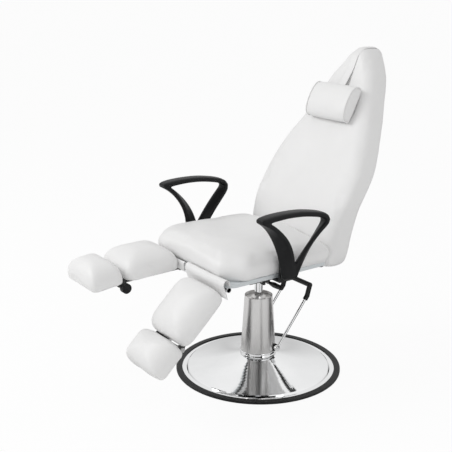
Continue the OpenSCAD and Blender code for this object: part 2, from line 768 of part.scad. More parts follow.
module clamp_knob(side, drop) {
    color([0.05, 0.05, 0.05]) leg_place(side, drop) translate([0, -tilt_s, tilt_z]) mirror([max(side, 0), 0, 0])
        difference() {
            union() {
                cyl_x(knob_d/2, knob_x, knob_x + 18);
                cyl_x(9, rail_gap/2 + lug_w/2 + 0.3, knob_x);
            }
            cyl_x(tilt_r + fit_run, 0, knob_x + 10.3);
        }
}

module left_leg_frame() leg_frame(1, left_drop);
module left_calf_board() calf_board(1, left_drop);
module left_calf_cushion() calf_cushion(1, left_drop);
module left_tilt_pin() tilt_pin(1, left_drop);
module left_clamp_knob() clamp_knob(1, left_drop);
module left_foot_bracket() foot_bracket(1, left_drop, left_tilt);
module left_foot_board() foot_board(1, left_drop, left_tilt);
module left_foot_cushion() foot_cushion(1, left_drop, left_tilt);
module right_leg_frame() leg_frame(-1, right_drop);
module right_calf_board() calf_board(-1, right_drop);
module right_calf_cushion() calf_cushion(-1, right_drop);
module right_tilt_pin() tilt_pin(-1, right_drop);
module right_clamp_knob() clamp_knob(-1, right_drop);
module right_foot_bracket() foot_bracket(-1, right_drop, right_tilt);
module right_foot_board() foot_board(-1, right_drop, right_tilt);
module right_foot_cushion() foot_cushion(-1, right_drop, right_tilt);

base_plate();
base_dish();
rubber_ring();
pump_flange();
flange_bolts();
pump_cylinder();
pump_gland();
pump_shroud();
shroud_collar();
lever_brackets();
foot_lever();
foot_lever_grip();
piston_rod();
seat_hub();
mounting_plate();
mounting_bolts();
seat_frame();
seat_board();
seat_cushion();
left_arm_bracket();
right_arm_bracket();
arm_bolts();
left_armrest();
right_armrest();
leg_hinge_tube();
left_hinge_flap();
right_hinge_flap();
release_bracket();
release_lever();
release_grip();
back_hinge_ears();
back_hinge_pins();
back_frame();
back_board();
back_cushion();
pillow_strap();
head_pillow();
left_leg_frame();
left_calf_board();
left_calf_cushion();
left_tilt_pin();
left_clamp_knob();
left_foot_bracket();
left_foot_board();
left_foot_cushion();
right_leg_frame();
right_calf_board();
right_calf_cushion();
right_tilt_pin();
right_clamp_knob();
right_foot_bracket();
right_foot_board();
right_foot_cushion();
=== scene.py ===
# Pedicure spa chair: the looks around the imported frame. Metres, +Z up, the sitter faces -Y.
import json
import math

import bmesh
import bpy
import numpy as np
from mathutils import Matrix, Vector, noise
from mathutils.bvhtree import BVHTree


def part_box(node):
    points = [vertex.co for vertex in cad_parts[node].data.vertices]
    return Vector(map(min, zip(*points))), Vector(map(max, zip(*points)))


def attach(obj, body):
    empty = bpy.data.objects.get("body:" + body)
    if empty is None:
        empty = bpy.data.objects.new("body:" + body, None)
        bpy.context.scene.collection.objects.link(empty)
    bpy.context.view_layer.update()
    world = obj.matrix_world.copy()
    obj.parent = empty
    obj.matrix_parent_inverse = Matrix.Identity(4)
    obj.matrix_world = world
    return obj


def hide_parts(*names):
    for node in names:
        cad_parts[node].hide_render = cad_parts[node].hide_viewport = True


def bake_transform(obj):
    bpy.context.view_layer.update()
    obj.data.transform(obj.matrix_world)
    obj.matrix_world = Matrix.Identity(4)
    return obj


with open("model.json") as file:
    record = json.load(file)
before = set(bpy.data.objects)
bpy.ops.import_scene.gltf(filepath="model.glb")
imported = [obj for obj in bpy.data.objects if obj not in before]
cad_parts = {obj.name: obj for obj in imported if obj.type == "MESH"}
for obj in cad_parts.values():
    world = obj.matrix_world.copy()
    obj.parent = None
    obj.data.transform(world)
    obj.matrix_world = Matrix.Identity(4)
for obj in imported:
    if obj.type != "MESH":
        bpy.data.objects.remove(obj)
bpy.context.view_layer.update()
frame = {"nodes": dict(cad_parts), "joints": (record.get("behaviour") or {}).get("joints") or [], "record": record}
JOINTS = {j["name"]: j for j in frame["joints"]}

# ---- camera ----

VIEW_TARGET = Vector((-0.2019, 0.0, 0.4889))
VIEW_DISTANCE = 3.2656
VIEW_AZIMUTH = math.radians(54.44)
VIEW_ELEVATION = math.radians(16.59)


def make_camera():
    """The camera looks along one line at the chair, from its left front."""
    away = Vector((math.sin(VIEW_AZIMUTH) * math.cos(VIEW_ELEVATION),
                   -math.cos(VIEW_AZIMUTH) * math.cos(VIEW_ELEVATION), math.sin(VIEW_ELEVATION)))
    data = bpy.data.cameras.new("camera")
    data.sensor_width = 36
    data.lens = 70.13
    cam = bpy.data.objects.new("camera", data)
    bpy.context.collection.objects.link(cam)
    cam.location = VIEW_TARGET + away * VIEW_DISTANCE
    cam.rotation_euler = (-away).to_track_quat("-Z", "Y").to_euler()
    bpy.context.scene.camera = cam


make_camera()

# ---- shader maths ----


class Wire:
    """A node socket that adds Math nodes when it is added, multiplied and so on."""

    def __init__(self, tree, out=None):
        self.tree, self.out = tree, out

    def node(self, kind, settings=None, sockets=None, out=0):
        """Adds a node: its settings first, then the values or links of its sockets."""
        made = self.tree.nodes.new(kind)
        for key, value in (settings or {}).items():
            if key == "stops":
                ramp = made.color_ramp.elements
                while len(ramp) < len(value):
                    ramp.new(0.5)
                for stop, (at, colour) in zip(ramp, value):
                    stop.position = at
                    stop.color = colour
            else:
                setattr(made, key, value)
        for key, value in (sockets or {}).items():
            if isinstance(value, Wire):
                self.tree.links.new(value.out, made.inputs[key])
            else:
                made.inputs[key].default_value = value
        return Wire(self.tree, made.outputs[out])

    def maths(self, operation, *values):
        return self.node("ShaderNodeMath", {"operation": operation}, dict(enumerate(values)))

    def __add__(self, other):
        return self.maths("ADD", self, other)

    __radd__ = __add__

    def __mul__(self, other):
        return self.maths("MULTIPLY", self, other)

    __rmul__ = __mul__

    def __sub__(self, other):
        return self.maths("SUBTRACT", self, other)

    def __rsub__(self, other):
        return self.maths("SUBTRACT", other, self)

    def __pow__(self, other):
        return self.maths("POWER", self, other)

    def clamp(self):
        return self.maths("MINIMUM", self.maths("MAXIMUM", self, 0.0), 1.0)

    def blend(self, low, high):
        """A colour between low and high by this value."""
        sockets = {0: self, 6: low, 7: high}
        return self.node("ShaderNodeMix", {"data_type": "RGBA"}, sockets, 2)


def grey(value, warmth=0.0):
    return (value * (1 + warmth), value, value * (1 - warmth), 1)


def place(wire, scale=(1, 1, 1)):
    """Where a point is on the object, stretched by scale."""
    spot = wire.node("ShaderNodeTexCoord", out=3)
    return wire.node("ShaderNodeVectorMath", {"operation": "MULTIPLY"}, {0: spot, 1: scale})


def speckle(wire, size, detail=3.0, rough=0.55, stretch=(1, 1, 1)):
    """Noise from 0 to 1, with features about size metres across."""
    sockets = {"Vector": place(wire, stretch), "Scale": 1 / size, "Detail": detail, "Roughness": rough}
    return wire.node("ShaderNodeTexNoise", None, sockets, 0)


def finish_material(name, build, **fixed):
    """A material: build(wire) gives the varying inputs of the shader and its bump, and fixed holds the plain numbers."""
    material = bpy.data.materials.new(name)
    material.use_nodes = True
    tree = material.node_tree
    shader = tree.nodes["Principled BSDF"]
    for key, value in fixed.items():
        shader.inputs[key.replace("_", " ")].default_value = value
    varying, relief = build(Wire(tree))
    for key, value in varying.items():
        tree.links.new(value.out, shader.inputs[key])
    if relief:
        height, depth = relief
        bump = Wire(tree).node("ShaderNodeBump", None, {"Height": height, "Distance": depth, "Strength": 1.0})
        tree.links.new(bump.out, shader.inputs["Normal"])
    return material


def vinyl(w):
    cells = {"Vector": place(w), "Scale": 1150.0, "Randomness": 1.0}
    grain = w.node("ShaderNodeTexVoronoi", {"feature": "DISTANCE_TO_EDGE"}, cells, 0)
    soft = speckle(w, 0.11, 2.0)
    fine = speckle(w, 0.004, 4.0)
    tone = (soft * 0.7 + fine * 0.3).blend(grey(0.80, 0.004), grey(0.87, 0.002))
    pull = speckle(w, 0.045, 2.0, 0.4, (1, 1, 0.45))
    return ({"Base Color": tone, "Roughness": 0.36 + soft * 0.12 + fine * 0.08},
            (grain.clamp() * 0.16 + pull * 1.0, 0.0011))


def chrome(w):
    haze = speckle(w, 0.09, 3.0)
    fine = speckle(w, 0.006, 2.0)
    tone = haze.blend(grey(0.83, -0.006), grey(0.93, -0.004))
    return {"Base Color": tone, "Roughness": 0.025 + haze * 0.05 + fine * 0.015}, (haze, 0.0002)


def brushed(w):
    lines = speckle(w, 0.03, 3.0, 0.6, (40, 40, 0.5))
    haze = speckle(w, 0.12, 2.0)
    tone = (lines * 0.5 + haze * 0.5).blend(grey(0.70, 0.015), grey(0.80, 0.008))
    return {"Base Color": tone, "Roughness": 0.24 + lines * 0.05 + haze * 0.04}, (lines, 0.000006)


def ring_rubber(w):
    fine = speckle(w, 0.003, 4.0)
    dust = speckle(w, 0.06, 4.0)
    tone = (dust * 0.6 + fine * 0.4).blend(grey(0.005, -0.02), grey(0.018, -0.03))
    return {"Base Color": tone, "Roughness": 0.42 + dust * 0.2}, (fine, 0.0003)


def grip_rubber(w):
    fine = speckle(w, 0.0022, 3.0)
    worn = speckle(w, 0.03, 3.0)
    tone = (worn * 0.5 + fine * 0.5).blend(grey(0.004), grey(0.014))
    return {"Base Color": tone, "Roughness": 0.34 + worn * 0.22}, (fine, 0.0003)


def arm_plastic(w):
    cells = {"Vector": place(w), "Scale": 900.0}
    grain = w.node("ShaderNodeTexVoronoi", None, cells, 0)
    soft = speckle(w, 0.05, 3.0)
    tone = (soft * 0.6 + grain * 0.4).clamp().blend((0.0012, 0.0013, 0.0015, 1), (0.0045, 0.005, 0.006, 1))
    return {"Base Color": tone, "Roughness": 0.36 + soft * 0.12}, (grain, 0.00008)


def zinc(w):
    spangle = w.node("ShaderNodeTexVoronoi", None, {"Vector": place(w), "Scale": 240.0}, 1)
    cloud = speckle(w, 0.02, 3.0)
    tone = cloud.blend(grey(0.52, 0.01), grey(0.72, 0.0))
    level = w.node("ShaderNodeSeparateColor", None, {0: spangle}, 0)
    return {"Base Color": tone, "Roughness": 0.24 + level * 0.1 + cloud * 0.08}, (cloud, 0.0001)


def paint(low, high, warmth=0.0, rust=None):
    def build(w):
        peel = speckle(w, 0.0025, 2.0)
        cloud = speckle(w, 0.035, 4.0)
        tone = (cloud * 0.75 + peel * 0.25).blend(grey(low, warmth), grey(high, warmth))
        if rust:
            patch = ((speckle(w, 0.02, 5.0, 0.65) - 0.46) * 5.0).clamp()
            tone = patch.blend(tone, rust)
        return {"Base Color": tone, "Roughness": 0.36 + cloud * 0.2}, (peel, 0.00018)
    return build


def board(w):
    fibres = speckle(w, 0.01, 4.0, 0.6, (1, 5, 5))
    cloud = speckle(w, 0.08, 3.0)
    tone = (fibres * 0.5 + cloud * 0.5).blend((0.58, 0.62, 0.64, 1), (0.70, 0.73, 0.74, 1))
    return {"Base Color": tone, "Roughness": 0.5 + fibres * 0.2}, (fibres, 0.0002)


MATERIALS = {
    "vinyl": finish_material("white_vinyl", vinyl, Specular_IOR_Level=0.42),
    "chrome": finish_material("polished_chrome", chrome, Metallic=1.0),
    "stainless": finish_material("brushed_stainless", brushed, Metallic=1.0),
    "ring_rubber": finish_material("base_rubber", ring_rubber, Specular_IOR_Level=0.3),
    "grip_rubber": finish_material("grip_rubber", grip_rubber, Specular_IOR_Level=0.35),
    "zinc": finish_material("bright_zinc", zinc, Metallic=1.0),
    "grey_paint": finish_material("frame_paint", paint(0.03, 0.06)),
    "dark_plate": finish_material("dark_plate", paint(0.05, 0.10, 0.08, (0.13, 0.075, 0.05, 1)), Metallic=0.4),
    "black_paint": finish_material("black_paint", paint(0.004, 0.012), Specular_IOR_Level=0.35),
    "dust_cloth": finish_material("dust_cloth", paint(0.010, 0.022), Specular_IOR_Level=0.15),
    "arm_plastic": finish_material("arm_plastic", arm_plastic, Specular_IOR_Level=0.27),
    "board": finish_material("sealed_board", board),
}


def wear(obj, slot):
    """Gives obj the material of a slot."""
    obj.data.materials.clear()
    obj.data.materials.append(MATERIALS[slot])


def smooth_cad(obj):
    """Shades a CAD node smoothly where its faces meet at less than 35 degrees."""
    for poly in obj.data.polygons:
        poly.use_smooth = True
    sharp = math.radians(35)
    bm = bmesh.new()
    bm.from_mesh(obj.data)
    for edge in bm.edges:
        edge.smooth = len(edge.link_faces) == 2 and edge.calc_face_angle(0) < sharp
    bm.to_mesh(obj.data)
    bm.free()


for row in frame["record"]["subparts"]:
    wear(frame["nodes"][row["node"]], row["material_slot"])

# ---- mesh helpers ----


def make_object(name, bm, slot):
    mesh = bpy.data.meshes.new(name)
    bmesh.ops.recalc_face_normals(bm, faces=bm.faces)
    bm.to_mesh(mesh)
    bm.free()
    obj = bpy.data.objects.new(name, mesh)
    bpy.context.collection.objects.link(obj)
    for poly in mesh.polygons:
        poly.use_smooth = True
    if slot:
        wear(obj, slot)
    return obj


def apply_modifiers(obj):
    """Turns what obj's modifiers make into its mesh."""
    depsgraph = bpy.context.evaluated_depsgraph_get()
    mesh = bpy.data.meshes.new_from_object(obj.evaluated_get(depsgraph))
    obj.modifiers.clear()
    obj.data = mesh
    for poly in mesh.polygons:
        poly.use_smooth = True


def points_of(obj):
    co = np.empty(len(obj.data.vertices) * 3)
    obj.data.vertices.foreach_get("co", co)
    return co.reshape(-1, 3)


def set_points(obj, co):
    obj.data.vertices.foreach_set("co", co.ravel())
    obj.data.update()


def remesh(obj, voxel):
    modifier = obj.modifiers.new("voxels", "REMESH")
    modifier.mode = "VOXEL"
    modifier.voxel_size = voxel
    apply_modifiers(obj)


def relax(obj, times, factor=0.5):
    modifier = obj.modifiers.new("relax", "SMOOTH")
    modifier.iterations = times
    modifier.factor = factor
    apply_modifiers(obj)


def subdivide(obj, levels=1):
    modifier = obj.modifiers.new("subdivide", "SUBSURF")
    modifier.levels = modifier.render_levels = levels
    apply_modifiers(obj)


def inflate(obj, pressure, cap):
    """Blows obj up like a stuffed cover, and lets no point move further than cap."""
    start = points_of(obj)
    scene = bpy.context.scene
    cloth = obj.modifiers.new("cloth", "CLOTH")
    cloth.settings.use_pressure = True
    cloth.settings.uniform_pressure_force = pressure
    cloth.settings.effector_weights.gravity = 0
    cloth.settings.quality = 5
    cloth.collision_settings.use_collision = False
    for step in range(1, 21):
        scene.frame_set(step)
    apply_modifiers(obj)
    scene.frame_set(1)
    move = points_of(obj) - start
    far = np.linalg.norm(move, axis=1, keepdims=True)
    set_points(obj, start + move * np.minimum(1, cap / np.maximum(far, 1e-9)))


def solid_of(node):
    """A copy of a CAD node's mesh, joined at its edges."""
    bm = bmesh.new()
    bm.from_mesh(frame["nodes"][node].data)
    bmesh.ops.remove_doubles(bm, verts=bm.verts, dist=1e-5)
    return bm


def stuffed(name, bm, nodes, body, voxel, inset, cap, relaxing=12, fitted=True):
    """A cushion blown up from the closed form bm, in the space that its CAD solids hold."""
    obj = make_object(name, bm, "vinyl")
    start = points_of(obj)
    remesh(obj, voxel)
    relax(obj, relaxing)
    normals = np.array([v.normal for v in obj.data.vertices])
    set_points(obj, points_of(obj) - normals * inset)
    inflate(obj, 4.0, cap)
    relax(obj, 2)
    subdivide(obj)
    if fitted:
        # Brings the stuffed form back to its first width, depth and height
        now = points_of(obj)
        size = (start.max(0) - start.min(0)) / (now.max(0) - now.min(0))
        set_points(obj, (now - now.min(0)) * size + start.min(0))
    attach(obj, body)
    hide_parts(*nodes)
    return obj


def ring_points(count, power):
    """A rounded rectangle from -1 to 1: power 2 is a circle, and more is squarer."""
    ring = []
    for k in range(count):
        a = 2 * math.pi * (k + 0.5) / count
        c, s = math.cos(a), math.sin(a)
        ring.append((math.copysign(abs(c) ** (2 / power), c), math.copysign(abs(s) ** (2 / power), s)))
    return ring


def smooth_path(points, count):
    """count points at even steps on the smooth curve through the rows of points."""
    p = np.array(points, float)
    fine = []
    for i in range(len(p) - 1):
        a, b, c, d = p[max(i - 1, 0)], p[i], p[i + 1], p[min(i + 2, len(p) - 1)]
        for k in range(12):
            t = k / 12
            fine.append(0.5 * (2 * b + (c - a) * t + (2 * a - 5 * b + 4 * c - d) * t * t
                               + (3 * b - a - 3 * c + d) * t ** 3))
    fine = np.array(fine + [p[-1]])
    run = np.r_[0, np.cumsum(np.linalg.norm(np.diff(fine[:, :3], axis=0), axis=1))]
    at = np.linspace(0, run[-1], count)
    return np.stack([np.interp(at, run, fine[:, k]) for k in range(fine.shape[1])], axis=1)


def loft(bm, rings, closed=False, caps=True):
    """Joins rings of points into a tube."""
    rows = [[bm.verts.new(p) for p in ring] for ring in rings]
    n = len(rows[0])
    pairs = list(zip(rows, rows[1:])) + ([(rows[-1], rows[0])] if closed else [])
    for a, b in pairs:
        for k in range(n):
            bm.faces.new((a[k], a[(k + 1) % n], b[(k + 1) % n], b[k]))
    if caps and not closed:
        bm.faces.new(rows[0][::-1])
        bm.faces.new(rows[-1])
    return rows


def tube(bm, path, radius, closed=False, sides=8):
    """A round cord along a path."""
    pts = [Vector(p) for p in path]
    rings = []
    side = None
    for i, p in enumerate(pts):
        a = pts[i - 1] if (i or closed) else p
        b = pts[(i + 1) % len(pts)] if (i + 1 < len(pts) or closed) else p
        t = (b - a).normalized()
        side = t.cross(Vector((0.31, 0.52, 0.79))) if side is None else side - t * side.dot(t)
        side.normalize()
        up = t.cross(side)
        rings.append([p + (side * math.cos(k * math.tau / sides) + up * math.sin(k * math.tau / sides)) * radius
                      for k in range(sides)])
    loft(bm, rings, closed)


# ---- seat and back cushions ----

SEAT_SIDE_Z = 0.489
SEAT_LOW_Z = 0.4335
BACK_SIDE_Z = 0.50
BACK_LOW_Z = 0.406


def seat_form():
    """The seat's solid, with its lower half drawn down over the edge of its board."""
    bm = solid_of("seat_cushion")
    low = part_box("seat_cushion")[0][2]
    for v in bm.verts:
        if v.co.z < SEAT_SIDE_Z:
            v.co.z = SEAT_SIDE_Z - (SEAT_SIDE_Z - v.co.z) * (SEAT_SIDE_Z - SEAT_LOW_Z) / (SEAT_SIDE_Z - low)
    return bm


def back_form():
    """The back's solid, with its lower end drawn down behind the seat."""
    bm = solid_of("back_cushion")
    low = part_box("back_cushion")[0][2]
    for v in bm.verts:
        if v.co.z < BACK_SIDE_Z:
            v.co.z = BACK_SIDE_Z - (BACK_SIDE_Z - v.co.z) * (BACK_SIDE_Z - BACK_LOW_Z) / (BACK_SIDE_Z - low)
    return bm


seat = stuffed("seat_cushion_cover", seat_form(), ["seat_cushion"], "seat", 0.0075, 0.004, 0.011, 8)
back = stuffed("back_cushion_cover", back_form(), ["back_cushion"], "back", 0.0085, 0.004, 0.008, 6)

# ---- leg cushions ----

LEG_DROP = {"left": 43.0, "right": 1.0}
FOOT_TILT = {"left": 0.0, "right": 5.0}
PAD_HALF_WIDTH = 0.102
PAD_TOP = 0.093
PAD_LOW = 0.0065
CALF_ENDS = (0.027, 0.236)
FOOT_ENDS = (0.003, 0.123)
TILT_DEPTH = 0.0115


def dome(centre, half_w, half_l, low, top, side_share, corner=6.5, crown=2.25):
    """A crowned closed form: flat below, with soft sides, and rounded in plan."""
    bm = bmesh.new()
    plan = ring_points(72, corner)
    level = low + (top - low) * side_share
    profile = [(0.30, low), (0.65, low), (0.88, low), (0.965, low + 0.001), (0.99, low + 0.004),
               (1.0, (low + level) / 2)]
    for k in range(15):
        a = math.pi / 2 * k / 15
        profile.append((math.cos(a) ** (2 / crown), level + (top - level) * math.sin(a) ** (2 / crown)))
    loft(bm, [[Vector((centre[0] + u * half_w * share, centre[1] + v * half_l * share, z)) for u, v in plan]
              for share, z in profile])
    return bm


def leg_pad(name, joint, angle, ends, depth, body, nodes):
    """A leg cushion in the frame of its hinge, with its cover wrapped round its board."""
    hinge = Vector(JOINTS[joint]["pos_m"])
    low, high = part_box(nodes[0])
    bm = dome((0, -(ends[0] + ends[1]) / 2), PAD_HALF_WIDTH + 0.001, (ends[1] - ends[0]) / 2 + 0.001,
              PAD_LOW + depth, PAD_TOP + depth, 0.2)
    spot = Matrix.Translation(((low[0] + high[0]) / 2, hinge.y, hinge.z))
    bmesh.ops.transform(bm, matrix=spot @ Matrix.Rotation(math.radians(angle), 4, "X"), verts=bm.verts)
    return stuffed(name, bm, nodes, body, 0.005, 0.001, 0.0035, 2, False)


for side in ("left", "right"):
    leg_pad(side + "_calf_cover", side + "_leg_hinge", LEG_DROP[side], CALF_ENDS, 0.0,
            side + "_leg", [side + "_calf_cushion", side + "_calf_board"])
    leg_pad(side + "_foot_cover", side + "_foot_tilt", LEG_DROP[side] + FOOT_TILT[side], FOOT_ENDS,
            TILT_DEPTH, side + "_foot", [side + "_foot_cushion", side + "_foot_board"])

# ---- cloth under the seat ----


def dust_cover():
    """Black cloth stretched over the underside of the seat board."""
    low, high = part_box("seat_board")
    inset = 0.012
    bm = bmesh.new()
    half_x, half_y = (high[0] - low[0]) / 2 - inset, (high[1] - low[1]) / 2 - inset
    centre = ((high[0] + low[0]) / 2, (high[1] + low[1]) / 2)
    plan = ring_points(96, 14)
    rings = []
    for share, drop in ((1.0, -0.0002), (0.995, 0.0008), (0.8, 0.0012), (0.4, 0.0016), (0.05, 0.0018)):
        rings.append([Vector((centre[0] + u * half_x * share, centre[1] + v * half_y * share, low[2] - drop))
                      for u, v in plan])
    rows = loft(bm, rings, caps=False)
    bm.faces.new(rows[-1])
    obj = make_object("seat_dust_cover", bm, None)
    wear(obj, "dust_cloth")
    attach(obj, "seat")
    return obj


dust_cover()

# ---- armrests ----

# Rows of a moulding's middle line: Y, Z, half-width, half-thickness, turn of the width towards +Y in degrees
ARM_PAD = [(-0.223, 0.657, 0.018, 0.008, 0), (-0.208, 0.659, 0.0225, 0.0105, 0), (-0.175, 0.663, 0.023, 0.0105, 0),
           (-0.120, 0.6645, 0.023, 0.0098, 0), (-0.060, 0.661, 0.023, 0.0098, 0), (0.000, 0.6505, 0.023, 0.0098, 0),
           (0.034, 0.640, 0.022, 0.0098, 0), (0.049, 0.626, 0.021, 0.0095, -6), (0.045, 0.609, 0.0205, 0.009, -16),
           (0.022, 0.584, 0.020, 0.0085, -32), (-0.012, 0.546, 0.020, 0.008, -46), (-0.044, 0.505, 0.020, 0.0082, -60),
           (-0.068, 0.470, 0.020, 0.009, -74), (-0.080, 0.452, 0.020, 0.011, -82)]
ARM_FRONT_LEG = [(-0.214, 0.654, 0.021, 0.007, 0), (-0.187, 0.637, 0.023, 0.0085, 8), (-0.158, 0.609, 0.0245, 0.0085, 22),
                 (-0.132, 0.574, 0.026, 0.0085, 38), (-0.114, 0.537, 0.0265, 0.0088, 54), (-0.104, 0.500, 0.0265, 0.0095, 70),
                 (-0.099, 0.470, 0.026, 0.011, 84), (-0.097, 0.450, 0.024, 0.012, 90)]


def moulding(bm, rows, across, side, count=40):
    """Sweeps a rounded strip along a middle line, turning its width about the line as it goes."""
    rings = []
    path = smooth_path([(0.0, y, z, w, t, turn) for y, z, w, t, turn in rows], count)
    for i, (_, y, z, w, t, turn) in enumerate(path):
        ahead = path[min(i + 1, count - 1)] - path[max(i - 1, 0)]
        tangent = Vector((0, ahead[1], ahead[2])).normalized()
        flat = Vector((0, -tangent.z, tangent.y))
        if flat.y < 0:
            flat = -flat
        a = math.radians(turn)
        wide = Vector((side * math.cos(a), 0, 0)) + flat * math.sin(a)
        thick = tangent.cross(wide)
        middle = Vector((side * across(y, z, w, a), y, z))
        rings.append([middle + wide * (w * u) + thick * (t * v) for u, v in ring_points(24, 3.4)])
    loft(bm, rings)


def armrest(side_name):
    side = 1 if side_name == "left" else -1
    low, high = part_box(side_name + "_armrest")
    inner = min(abs(low[0]), abs(high[0]))
    outer = max(abs(low[0]), abs(high[0]))
    middle = (inner + outer) / 2
    foot_thick = 0.012

    def across(y, z, w, a):
        """The strip's middle moves in as it turns, so that its foot lies on the inner face."""
        turned = min(1.0, abs(math.sin(a)))
        return middle * (1 - turned) + (inner + foot_thick + 0.003) * turned

    bm = bmesh.new()
    moulding(bm, ARM_PAD, across, side)
    moulding(bm, ARM_FRONT_LEG, across, side)
    # The foot plate, drawn in towards its rounded lower end
    rings = []
    for z, front, rear, grow in ((0.442, -0.112, -0.074, 0.6), (0.446, -0.120, -0.067, 0.85), (0.454, -0.124, -0.0635, 1),
                                 (0.475, -0.124, -0.064, 1), (0.495, -0.122, -0.072, 0.9), (0.510, -0.118, -0.086, 0.7)):
        half, centre = (rear - front) / 2, (rear + front) / 2
        x = side * (inner + foot_thick + 0.002)
        rings.append([Vector((x + side * u * foot_thick * grow, centre + v * half, z)) for u, v in ring_points(24, 3.6)])
    loft(bm, rings)
    obj = make_object(side_name + "_armrest_moulding", bm, "arm_plastic")
    remesh(obj, 0.0022)
    relax(obj, 5)
    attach(obj, "seat")
    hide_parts(side_name + "_armrest")
    return obj


for side_name in ("left", "right"):
    armrest(side_name)

# ---- head pillow ----


def head_pillow():
    """A half-round bolster with piped end panels, puckered at its seams."""
    low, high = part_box("head_pillow")
    half = (high[0] - low[0]) / 2 - 0.012
    tilt = Matrix.Rotation(math.radians(-27), 3, "X")
    node = np.array([tuple(v.co) for v in frame["nodes"]["head_pillow"].data.vertices])
    turned = node @ np.array(tilt)
    y_back, z_low, z_high = turned[:, 1].max(), turned[:, 2].min(), turned[:, 2].max()
    y_front = turned[:, 1].min()
    deep, tall = y_back - y_front, z_high - z_low
    count = 64

    def outline(scale, bulge, x, pucker=0.0):
        ring = []
        for k in range(count):
            a = math.tau * k / count
            c, s = math.cos(a), math.sin(a)
            front = s > 0
            power = 2.5 if front else 5.0
            depth = deep * (0.68 if front else 0.30)
            across = math.copysign(abs(s) ** (2 / power), s) * depth
            up = math.copysign(abs(c) ** (2 / (2.3 if front else 2.8)), c) * tall / 2
            ripple = 1 + pucker * math.sin(a * 23 + 0.6 * math.sin(a * 5)) * (0.4 + 0.6 * max(0.0, -c))
            y = y_back - deep * 0.31 - across * scale * bulge * ripple
            z = (z_low + z_high) / 2 + up * scale * ripple
            ring.append(tilt @ Vector((x, min(y, y_back - 0.0005), z)))
        return ring

    bm = bmesh.new()
    rows = []
    steps = 26
    for i in range(steps + 1):
        u = -1 + 2 * i / steps
        edge = abs(u) ** 6
        rows.append(outline(0.985 - 0.045 * edge, 1.0 - 0.06 * edge, half * u, 0.012 * abs(u) ** 10))
    panel = [(0.86, 0.005), (0.66, 0.0085), (0.42, 0.0105), (0.18, 0.011)]
    left_end = [outline(0.95 * s, 0.97, -half - out + 0.0015) for s, out in reversed(panel)]
    right_end = [outline(0.95 * s, 0.97, half + out - 0.0015) for s, out in panel]
    loft(bm, left_end + rows + right_end)
    obj = make_object("head_pillow_cover", bm, "vinyl")
    subdivide(obj)
    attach(obj, "pillow")
    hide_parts("head_pillow")
    bm = bmesh.new()
    for sign in (-1, 1):
        tube(bm, outline(0.958, 0.968, sign * half), 0.0021, True)
    piping = make_object("head_pillow_piping", bm, "vinyl")
    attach(piping, "pillow")
    return obj


pillow = head_pillow()

# ---- pillow strap ----


def tree_of(obj):
    bm = bmesh.new()
    bm.from_mesh(obj.data)
    tree = BVHTree.FromBMesh(bm)
    bm.free()
    return tree


def strap_rows(cushion, width):
    """Rows of points on the back's surface: up the front, over the top and down behind, with their outward sides."""
    tree = tree_of(cushion)
    across = [(-0.5 + k / 6) * width for k in range(7)]
    spots = points_of(cushion)
    top = spots[:, 2].max() - 0.006
    crest_y = spots[spots[:, 2] > top, 1].mean()

    def landed(start, way):
        hit = tree.ray_cast(start, way)
        if hit[0] is None:
            hit = tree.find_nearest(Vector((start.x, crest_y if way.z else start.y, min(start.z, top))))
        return hit[0], hit[1]

    rows = []
    for z in np.linspace(0.985, top - 0.014, 14):
        rows.append([(Vector((x, -2, z)), Vector((0, 1, 0))) for x in across])
    for y in np.linspace(crest_y - 0.034, crest_y + 0.034, 7):
        rows.append([(Vector((x, y, 2)), Vector((0, 0, -1))) for x in across])
    for z in np.linspace(top - 0.014, 1.0, 12):
        rows.append([(Vector((x, 2, z)), Vector((0, -1, 0))) for x in across])
    return [[landed(start, way) for start, way in row] for row in rows]


def strap(name, rows, lift, slot_name="vinyl"):
    """A flat strip with folded edges, lift(i) metres clear of the back."""
    bm = bmesh.new()
    thick = 0.0022
    rings = []
    for i, row in enumerate(rows):
        up = [p + n * (0.0008 + lift(i)) for p, n in row]
        over = [p + n * (0.0008 + thick + lift(i)) for p, n in row]
        rings.append(over + up[::-1])
    loft(bm, rings)
    obj = make_object(name, bm, slot_name)
    subdivide(obj)
    return obj


STRAP_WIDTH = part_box("pillow_strap")[1][0] * 2
rows = strap_rows(back, STRAP_WIDTH)
FRONT_ROWS = 18


def strap_lift(i):
    """The strap stands off the back beside the pillow and lies down higher up."""
    t = min(1.0, i / 9)
    return 0.016 * (1 - t) ** 1.6


front_strap = strap("pillow_strap_front", rows[:FRONT_ROWS], strap_lift)
rear_strap = strap("pillow_strap_rear", rows[FRONT_ROWS - 2:], lambda i: 0.0002)
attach(rear_strap, "back")
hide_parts("pillow_strap")
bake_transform(front_strap)
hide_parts("pillow_strap")

# ---- hinge flaps ----


